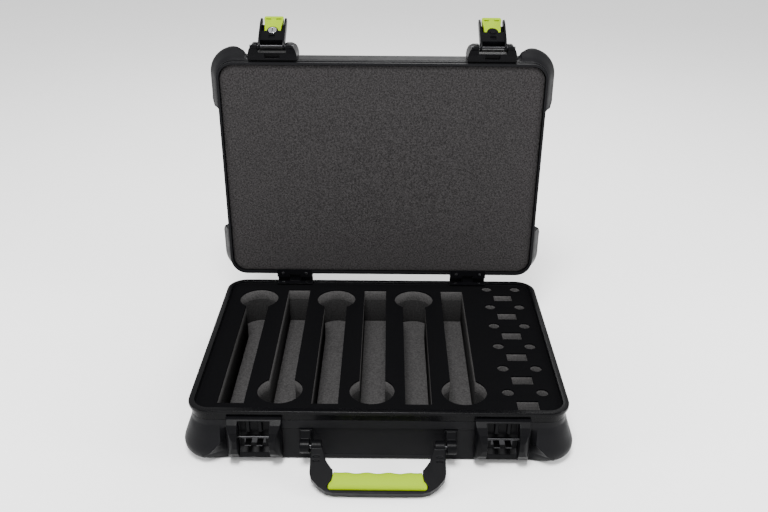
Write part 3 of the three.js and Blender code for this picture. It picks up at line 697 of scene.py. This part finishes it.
class CASE_OT_foam(bpy.types.Operator):
    """Builds the cut foam layers in the base and the pad in the lid"""
    bl_idname = "carry_case.foam"
    bl_label = "Foam"

    def execute(self, context):
        settings = context.scene.carry_case_foam
        grey, light, dark, black, painted_light_floor = (FINISHES[name] for name in (
            "foam_grey", "foam_light", "foam_dark", "foam_black", "foam_floor"))
        slots = [slot_loop(settings, name.removeprefix("mic_slot_")) for name in OPENINGS
                 if name.startswith("mic_slot_")]
        cells = cell_loops(settings)
        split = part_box("mic_foam_upper")[1].x
        whole, left = clipped(), clipped(right=split)
        right = clipped(left=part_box("battery_foam")[0].x)

        def layer(name, node, slot, material, loops):
            low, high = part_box(node)
            piece = cut_slab(name, material, low.z, high.z, loops, settings.edge)
            settle(piece, "base", slot, node)

        # The floor pad takes the brightened foam: painted light on the slot floors.
        layer("floor_pad", "foam_floor_pad", "foam_grey", painted_light_floor, [whole])
        layer("mic_layer_lower", "mic_foam_lower", "foam_dark", dark, [left, *slots])
        # The upper layer's foam is lighter, with painted light added over its own tone.
        layer("mic_layer_upper", "mic_foam_upper", "foam_grey", light, [left, *slots])
        layer("foam_skin", "foam_top_skin", "foam_black", black, [whole, *slots, *cells])
        self.battery_block(settings, light, right, cells)
        self.lid_pad(settings, grey)
        return {"FINISHED"}

    def battery_block(self, settings, material, plan, cells):
        """The block for the batteries: holes right through it, closed below by a thin slab."""
        low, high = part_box("battery_foam")
        floor = OPENINGS["round_cell_1"][0][2] - 0.4 * MM
        # Cut from the upper layer's foam, so it carries the same painted light over its lighter
        # tone.
        upper = cut_slab("battery_block", material, floor + 0.02 * MM, high.z, [plan, *cells],
                         settings.edge)
        lower = cut_slab("battery_block_floor", material, low.z, floor, [plan], settings.edge)
        settle(upper, "base", "foam_grey", "battery_foam")
        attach(lower, "base")

    def lid_pad(self, settings, material):
        """The lid's pad: a thick sheet with soft edges and a slight crown."""
        low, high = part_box("lid_foam_pad")
        face = HINGE.z + (low.y - HINGE.y)
        back = HINGE.z + (high.y - HINGE.y)
        outline = Outline(OUTLINE_CORNER)
        stations = outline.plain(20)
        rings = [outline.ring(stations, back, -FOAM_INSET - 1 * MM),
                 outline.ring(stations, back - 1 * MM, -FOAM_INSET)]
        # (run in from the edge, drop of the face) in millimetres, and in thirds of one
        swell = [(0, 1.0), (0.5, 0.45), (1.4, 0.12), (3, 0), (6, -0.25), (12, -0.4), (21, -0.5)]
        for run, drop in swell:
            sag = (settings.crown * 0.3) + drop * 3 * MM
            rings.append(outline.ring(stations, face + max(sag, 0) + settings.crown * 0.35,
                                      -FOAM_INSET - run * MM))
        inner = outline.ring(stations, 0, -FOAM_INSET - swell[-1][0] * MM)
        for shrink in (0.93, 0.82, 0.66, 0.48, 0.3, 0.14, 0.05):
            rise = settings.crown * 0.35 * (1 - (1 - shrink) ** 2) * shrink
            rings.append([(x * shrink, y * shrink, face + rise) for x, y, _ in inner])
        pad = new_object("lid_pad", skin(bmesh.new(), rings), material, 60)
        pad.data.transform(LID_OPEN)
        settle(pad, "lid", "foam_grey", "lid_foam_pad")


# ------------------------------------------------------------------ hinges and rivets

RIVET_RADIUS = 2.4 * MM
RIVET_RISE = 0.17 * MM


def rivet_tree():
    """Geometry nodes: one shallow domed rivet head on every point."""
    tree = bpy.data.node_groups.new("rivet_heads", "GeometryNodeTree")
    sockets = (("Points", "NodeSocketGeometry"), ("Half size", "NodeSocketVector"),
               ("Material", "NodeSocketMaterial"))
    for name, kind in sockets:
        tree.interface.new_socket(name, in_out="INPUT", socket_type=kind)
    tree.interface.new_socket("Heads", in_out="OUTPUT", socket_type="NodeSocketGeometry")
    node, link = tree.nodes.new, tree.links.new
    given, result = node("NodeGroupInput"), node("NodeGroupOutput")
    dome = node("GeometryNodeMeshUVSphere")
    dome.inputs["Segments"].default_value, dome.inputs["Rings"].default_value = 28, 10
    dome.inputs["Radius"].default_value = 1
    heads, real = node("GeometryNodeInstanceOnPoints"), node("GeometryNodeRealizeInstances")
    smooth, paint = node("GeometryNodeSetShadeSmooth"), node("GeometryNodeSetMaterial")
    link(given.outputs["Points"], heads.inputs["Points"])
    link(dome.outputs["Mesh"], heads.inputs["Instance"])
    link(given.outputs["Half size"], heads.inputs["Scale"])
    link(heads.outputs["Instances"], real.inputs["Geometry"])
    link(real.outputs["Geometry"], smooth.inputs["Geometry"])
    link(smooth.outputs["Geometry"], paint.inputs["Geometry"])
    link(given.outputs["Material"], paint.inputs["Material"])
    link(paint.outputs["Geometry"], result.inputs["Heads"])
    return tree


def rivets(name, tree, nodes, towards):
    """Domed heads at the outer faces of the CAD rivets, as one plain mesh."""
    mesh = bpy.data.meshes.new(name)
    spots = []
    for node in nodes:
        low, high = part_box(node)
        centre = (low + high) / 2
        spots.append(centre + towards * (abs((high - low).dot(towards)) / 2 - RIVET_RISE))
    mesh.from_pydata([tuple(spot) for spot in spots], [], [])
    obj = bpy.data.objects.new(name, mesh)
    bpy.context.collection.objects.link(obj)
    modifier = obj.modifiers.new("heads", "NODES")
    modifier.node_group = tree
    names = {item.name: item.identifier for item in tree.interface.items_tree
             if item.in_out == "INPUT"}
    modifier[names["Half size"]] = tuple(
        RIVET_RISE if abs(part) > 0.5 else RIVET_RADIUS for part in towards)
    modifier[names["Material"]] = FINISHES["steel"]
    return bake(obj)


class CASE_OT_hinges(bpy.types.Operator):
    """Builds the hinge leaves, their pins and their rivets"""
    bl_idname = "carry_case.hinges"
    bl_label = "Hinges"

    def execute(self, context):
        bevel = context.scene.carry_case_fitting.bevel
        hard, steel = FINISHES["hard_black"], FINISHES["steel"]
        for side, _ in SIDES:
            for body in ("base", "lid"):
                node = f"hinge_leaf_{body}_{side}"
                settle(softened(node, hard, bevel * 0.7), body, "hard_black", node)
            node = f"hinge_pin_{side}"
            settle(softened(node, steel, bevel * 0.5), "base", "steel", node)
        tree = rivet_tree()
        base = [f"base_rivet_{side}_{i}" for side, _ in SIDES for i in (1, 2)]
        lid = [f"lid_rivet_{side}_{i}" for side, _ in SIDES for i in (1, 2)]
        settle(rivets("base_rivets", tree, base, Vector((0, 0, 1))), "base", "steel", *base)
        heads = rivets("lid_rivets", tree, lid, Vector((0, -1, 0)))
        settle(heads, "lid", "steel", *lid)
        return {"FINISHED"}


# ------------------------------------------------------------------ latches

class CASE_OT_latches(bpy.types.Operator):
    """Builds the latch housings, levers, lock, keepers and catch plates"""
    bl_idname = "carry_case.latches"
    bl_label = "Latches"

    def execute(self, context):
        settings = context.scene.carry_case_fitting
        hard, lime = FINISHES["hard_black"], FINISHES["lime"]
        bevel = settings.bevel
        for side, _ in SIDES:
            lever = f"lever_{side}"
            for node, body in ((f"latch_housing_{side}", "lid"), (f"latch_keeper_{side}", "base")):
                settle(moulded(node, hard, settings.voxel), body, "hard_black", node)
            settle(softened(f"lever_frame_{side}", hard, bevel), lever, "hard_black",
                   f"lever_frame_{side}")
            settle(softened(f"lever_tab_{side}", lime, bevel), lever, "lime", f"lever_tab_{side}")
            # Latch pins, keeper rods and catch plates take the darkened steel: painted shade where
            # they sit between other parts.
            for node, body, metal in ((f"latch_pin_{side}", "lid", "painted_shade_steel"),
                                      (f"keeper_rod_{side}", "base", "painted_shade_steel"),
                                      (f"catch_plate_{side}", "base", "painted_shade_steel")):
                settle(softened(node, FINISHES[metal], bevel * 0.5), body, "steel", node)
        settle(softened("lock_cylinder", FINISHES["chrome"], bevel * 0.8), "key_lock", "chrome",
               "lock_cylinder")
        settle(softened("blank_plug", hard, bevel), "lever_right", "hard_black", "blank_plug")
        return {"FINISHED"}


# ------------------------------------------------------------------ handle

DROOP = math.radians(24)         # handle's lean below the horizontal, as it lies
GRIP_FULL = 54                   # grip's full width ends here, from its middle
GRIP_STEP = 0.35
CORE_SLOT = ((-80 * MM, -58.8 * MM, -3.8 * MM), (80 * MM, -45.7 * MM, 3.8 * MM))


def grip_section(inner, outer, half, steps=40):
    """One cross-section of the grip as (reach, thickness) points: flat outside, round inside."""
    middle, across = (inner + outer) / 2, (outer - inner) / 2
    points = []
    for i in range(steps):
        angle = 2 * math.pi * i / steps
        c, s = math.cos(angle), math.sin(angle)
        power = 0.5 if c > 0 else 0.85
        points.append((middle + across * math.copysign(abs(c) ** power, c),
                       half * math.copysign(abs(s) ** 0.72, s)))
    return points


class CASE_OT_handle(bpy.types.Operator):
    """Builds the handle's frame, its grip, the brackets and the pivot pins"""
    bl_idname = "carry_case.handle"
    bl_label = "Handle"

    def execute(self, context):
        settings = context.scene.carry_case_fitting
        # The pivot pins take the darkened steel: painted shade in the gap between knuckle and
        # bracket.
        hard, steel = FINISHES["hard_black"], FINISHES["painted_shade_steel"]
        settle(moulded("handle_frame", hard, 0.55 * MM, 4), "handle", "hard_black", "handle_frame")
        settle(self.grip(settings), "handle", "lime", "handle_grip")
        for side, _ in SIDES:
            bracket, pin = f"handle_bracket_{side}", f"handle_pin_{side}"
            settle(moulded(bracket, hard, settings.voxel), "base", "hard_black", bracket)
            settle(softened(pin, steel, settings.bevel), "base", "steel", pin)
        return {"FINISHED"}

    def grip(self, settings):
        """The lime grip: a thick loft with finger grooves inside and flared tips."""
        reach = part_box("handle_grip")[1].x
        pivot = Vector(JOINTS["handle_pivot"]["pos_m"])
        # (distance from the middle, inner edge, outer edge, half thickness), in millimetres
        stations = [(0, 38.4, 62.2, 11.4), (44, 38.4, 62.2, 11.4), (51, 37.6, 62.2, 11.2),
                    (54.6, 37.2, 62.2, 10.8), (55.8, 40.5, 62.2, 10.4), (56.4, 46, 62.2, 10),
                    (57.4, 49.4, 62.2, 9.6), (59.4, 51.6, 62, 8.6), (61, 53.8, 61.2, 6.2),
                    (61.6, 56, 59.6, 2.6)]
        inner, outer, half = ([(row[0], row[k]) for row in stations] for k in (1, 2, 3))
        tip = stations[-1][0]
        spots = sorted({float(i) for i in range(GRIP_FULL + 1)} | {
            GRIP_FULL + i * GRIP_STEP for i in range(1, 25)} | {tip})
        spots = [x for x in spots if x <= tip]
        spots = [-x for x in reversed(spots[1:])] + spots
        scale = reach / (tip * MM)
        rings = []
        for x in spots:
            distance = abs(x)
            groove = settings.groove_depth / MM * math.cos(
                math.pi * settings.grip_grooves * x / GRIP_FULL) * max(
                    1 - (distance / 56) ** 8, 0)
            section = grip_section(straight(inner, distance) + groove, straight(outer, distance),
                                   straight(half, distance))
            rings.append([(x * MM * scale, -a * MM, b * MM) for a, b in section])
        piece = new_object("grip", skin(bmesh.new(), rings), FINISHES["lime"], 60)
        subtract(piece, [CORE_SLOT])
        piece.data.transform(Matrix.Translation(pivot) @ Matrix.Rotation(DROOP, 4, "X"))
        piece.data.shade_smooth()
        piece.data.set_sharp_from_angle(angle=math.radians(60))
        return piece


# ------------------------------------------------------------------ finishes

class CASE_OT_finishes(bpy.types.Operator):
    """Makes the materials that every piece draws on"""
    bl_idname = "carry_case.finishes"
    bl_label = "Materials"

    def execute(self, context):
        shell, soft = context.scene.carry_case_shell, context.scene.carry_case_foam
        fitting = context.scene.carry_case_fitting
        FINISHES.update({
            "shell_black": moulded_plastic("shell_black", shell.color, 0.44, 700, 0.09 * MM,
                                           gloss=0.06),
            "rim_black": moulded_plastic("rim_black", shell.rim_color, 0.24, 1500, 0.02 * MM,
                                         gloss=0.06),
            "hard_black": moulded_plastic("hard_black", shell.hard_color, 0.34, 1300, 0.03 * MM,
                                          gloss=0.045),
            "steel": bare_metal("steel", fitting.steel, 0.26),
            # Steel at under a fifth of its brightness: painted shade for the pins, rods and catch
            # plates that sit in shade between other parts, in place of their bright reflections.
            "painted_shade_steel": bare_metal("painted_shade_steel", shade(fitting.steel, 0.18), 0.3),
            "chrome": bare_metal("chrome", fitting.chrome, 0.1, (1, 1, 1)),
            "foam_grey": foam("foam_grey", soft.color, contrast=0.5),
            # Painted light: the floor pad's foam is made brighter than the lid's pad.
            "foam_floor": foam("foam_floor", soft.floor),
            # Partly painted light: the upper layer is lighter foam, brightened further.
            "foam_light": foam("foam_light", soft.upper),
            "foam_dark": foam("foam_dark", soft.lower),
            "foam_black": foam("foam_black", soft.skin, 900, 0.2, 0.12 * MM),
            "lime": soft_touch("lime", fitting.lime),
        })
        for node, obj in frame["nodes"].items():
            slot = next(row["material_slot"] for row in RECORD["subparts"] if row["node"] == node)
            obj.data.materials.clear()
            obj.data.materials.append(FINISHES[slot])
        return {"FINISHED"}


# ------------------------------------------------------------------ stage

FLOOR_DROP = 0.1 * MM
LAMP_AIM = Vector((0, 0.05, 0.15))
# Name, share of the key light's power, width across, place
LAMPS = (("key", 1, 0.9, (-0.15, -1.05, 2.4)), ("side_left", 0.12, 0.6, (-1.7, -0.6, 0.7)),
         ("side_right", 0.2, 0.6, (1.7, -0.5, 0.7)), ("rear", 0.12, 0.7, (0.2, 1.5, 1.5)))


class CASE_OT_stage(bpy.types.Operator):
    """Sets up the camera, the pale floor and the soft lights"""
    bl_idname = "carry_case.stage"
    bl_label = "Stage"

    def execute(self, context):
        settings = context.scene.carry_case_stage
        self.camera(context, settings)
        bm = bmesh.new()
        bmesh.ops.create_grid(bm, x_segments=8, y_segments=8, size=6)
        floor = new_object("floor", bm, paper_floor("floor", settings.floor))
        floor.location.z = -FLOOR_DROP
        world = bpy.data.worlds.new("room")
        world.use_nodes = True
        background = world.node_tree.nodes["Background"]
        background.inputs["Color"].default_value = (1, 1, 1, 1)
        background.inputs["Strength"].default_value = settings.sky
        context.scene.world = world
        for name, share, size, place in LAMPS:
            self.lamp(context, name, settings.key * share, size, place)
        return {"FINISHED"}

    def camera(self, context, settings):
        cp, sp = math.cos(settings.pitch), math.sin(settings.pitch)
        yaw = Matrix.Rotation(settings.yaw, 3, "Z")
        forward, up, right = (yaw @ Vector(v) for v in ((0, cp, -sp), (0, sp, cp), (1, 0, 0)))
        cr, sr = math.cos(settings.roll), math.sin(settings.roll)
        right, up = right * cr + up * sr, up * cr - right * sr
        camera = bpy.data.objects.new("camera", bpy.data.cameras.new("camera"))
        context.collection.objects.link(camera)
        rotation = Matrix((right, up, -forward)).transposed()
        camera.matrix_world = Matrix.Translation(settings.camera) @ rotation.to_4x4()
        camera.data.lens, camera.data.sensor_width = settings.lens, 36
        camera.data.clip_start, camera.data.clip_end = 0.05, 50
        context.scene.camera = camera

    def lamp(self, context, name, power, size, place):
        data = bpy.data.lights.new(name, "AREA")
        data.energy, data.shape, data.size = power, "DISK", size
        light = bpy.data.objects.new(name, data)
        context.collection.objects.link(light)
        light.location = place
        aim = LAMP_AIM - light.location
        light.rotation_mode = "QUATERNION"
        light.rotation_quaternion = aim.to_track_quat("-Z", "Y")


STEPS = (CASE_OT_finishes, CASE_OT_shells, CASE_OT_foam, CASE_OT_hinges, CASE_OT_latches,
         CASE_OT_handle, CASE_OT_stage)


class CASE_PT_panel(bpy.types.Panel):
    """Lists the steps that build the case"""
    bl_idname = "CASE_PT_panel"
    bl_label = "Carry Case"
    bl_space_type = "VIEW_3D"
    bl_region_type = "UI"
    bl_category = "Carry Case"

    def draw(self, context):
        for step in STEPS:
            self.layout.operator(step.bl_idname)


SETTINGS = {"carry_case_shell": CaseShellSettings, "carry_case_foam": CaseFoamSettings,
            "carry_case_fitting": CaseFittingSettings, "carry_case_stage": CaseStageSettings}


def register():
    for group in SETTINGS.values():
        bpy.utils.register_class(group)
    for name, group in SETTINGS.items():
        setattr(bpy.types.Scene, name, bpy.props.PointerProperty(type=group))
    for cls in (*STEPS, CASE_PT_panel):
        bpy.utils.register_class(cls)


def unregister():
    for cls in reversed((*STEPS, CASE_PT_panel)):
        bpy.utils.unregister_class(cls)
    for name, group in SETTINGS.items():
        delattr(bpy.types.Scene, name)
        bpy.utils.unregister_class(group)


def main():
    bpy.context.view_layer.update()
    register()
    bpy.ops.carry_case.finishes()
    bpy.ops.carry_case.shells()
    bpy.ops.carry_case.foam()
    bpy.ops.carry_case.hinges()
    bpy.ops.carry_case.latches()
    bpy.ops.carry_case.handle()
    bpy.ops.carry_case.stage()


if __name__ == "__main__":
    main()
